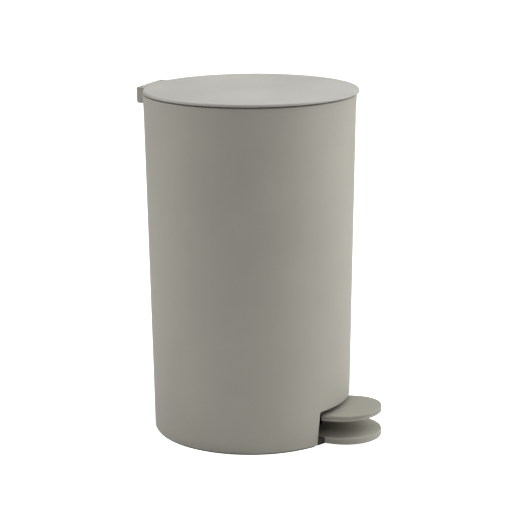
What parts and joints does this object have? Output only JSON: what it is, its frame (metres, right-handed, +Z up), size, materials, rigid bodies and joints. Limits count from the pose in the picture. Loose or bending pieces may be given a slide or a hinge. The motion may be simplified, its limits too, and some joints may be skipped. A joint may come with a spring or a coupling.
{
  "type": "pedal trash can",
  "caption": "Slim round pedal bin: tapered tube, flat lid hinged at the back, foot pedal with push rod, and a lift-out inner bucket.",
  "frame": {"origin": "centre of the footprint of the whole bin, on the floor", "axes": "+Z up, +Y from the pedal towards the lid hinge, +X to the right when facing the hinge from the pedal"},
  "size_m": [0.1724, 0.2, 0.2806],
  "materials": {
    "shell": "warm grey moulded plastic with a soft-touch matte skin",
    "lid": "warm grey moulded plastic with a fine matte grain",
    "inside": "warm grey plain moulded plastic, matte",
    "bucket": "dark grey moulded polypropylene, satin matte",
    "soft": "dark soft rubber",
    "steel": "drawn and zinc-bright steel"
  },
  "bodies": {
    "root": {"outer_body": "shell", "base_plate": "bucket", "foot_plate": "shell", "anti_slip_ring": "soft", "foot_pad": "soft", "base_screw_1": "steel", "base_screw_2": "steel", "base_screw_3": "steel", "base_screw_4": "steel", "mechanism_cover": "inside", "pedal_axle": "steel", "axle_clip_left": "steel", "axle_clip_right": "steel", "hinge_bracket": "inside", "hinge_pin": "steel", "bracket_screw_left": "steel", "bracket_screw_right": "steel"},
    "lid": {"lid_panel": "lid", "lid_liner": "inside", "hinge_knuckle": "shell", "lid_screw_left": "steel", "lid_screw_right": "steel", "lid_bumper_1": "soft", "lid_bumper_2": "soft", "lid_bumper_3": "soft"},
    "pedal": {"pedal_lever": "shell", "pedal_cap": "shell"},
    "rod": {"push_rod": "steel", "rod_clip_lower": "steel", "rod_clip_upper": "steel"},
    "bucket": {"inner_bucket": "bucket"},
    "handle": {"bucket_handle": "steel", "handle_grip": "bucket"}
  },
  "joints": [
    {"name": "lid_hinge", "type": "hinge", "parent": "root", "child": "lid", "pos_m": [0, 0.09571, 0.2718], "axis": [-1, 0, 0], "range_deg": [0, 80]},
    {"name": "pedal_hinge", "type": "hinge", "parent": "root", "child": "pedal", "pos_m": [0, -0.00269, 0.01771], "axis": [1, 0, 0], "range_deg": [0, 8.65]},
    {"name": "rod_slide", "type": "slide", "parent": "root", "child": "rod", "axis": [0, 0, 1], "range_m": [0, 0.0135]},
    {"name": "bucket_lift", "type": "slide", "parent": "root", "child": "bucket", "axis": [0, 0, 1], "range_m": [0, 0.006]},
    {"name": "handle_swing", "type": "hinge", "parent": "bucket", "child": "handle", "pos_m": [0, 0.00831, 0.252], "axis": [-1, 0, 0], "range_deg": [0, 9]}
  ],
  "couplings": [
    {"joint": "pedal_hinge", "follows": "lid_hinge", "ratio": 0.1076},
    {"joint": "rod_slide", "follows": "lid_hinge", "m_per_rad": 0.009597}
  ]
}
